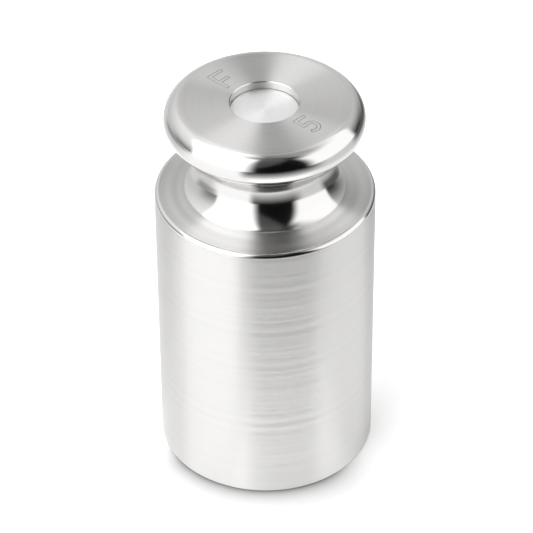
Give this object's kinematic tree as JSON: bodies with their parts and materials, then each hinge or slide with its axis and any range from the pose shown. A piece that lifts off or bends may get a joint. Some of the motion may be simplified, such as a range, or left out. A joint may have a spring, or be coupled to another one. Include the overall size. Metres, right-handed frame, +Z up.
{
  "type": "calibration weight",
  "caption": "Knob-type cylindrical test weight of turned stainless steel, with an adjusting cavity closed by a sunk disc in its knob.",
  "frame": {"origin": "centre of the foot, on the surface the weight stands on", "axes": "+Z up along the turning axis, from the foot to the knob; the weight is round, so X and Y may point anywhere"},
  "size_m": [0.08, 0.08, 0.1504],
  "materials": {
    "turned_steel": "stainless steel, satin turned sides and face, polished neck and edges",
    "seal_aluminium": "matt turned aluminium",
    "plug_steel": "plain turned stainless steel, out of sight",
    "shot_steel": "plain cut steel wire, out of sight"
  },
  "bodies": {
    "root": {"body": "turned_steel", "sealing_disc": "seal_aluminium", "cavity_plug": "plug_steel", "adjusting_shot": "shot_steel"}
  },
  "joints": []
}
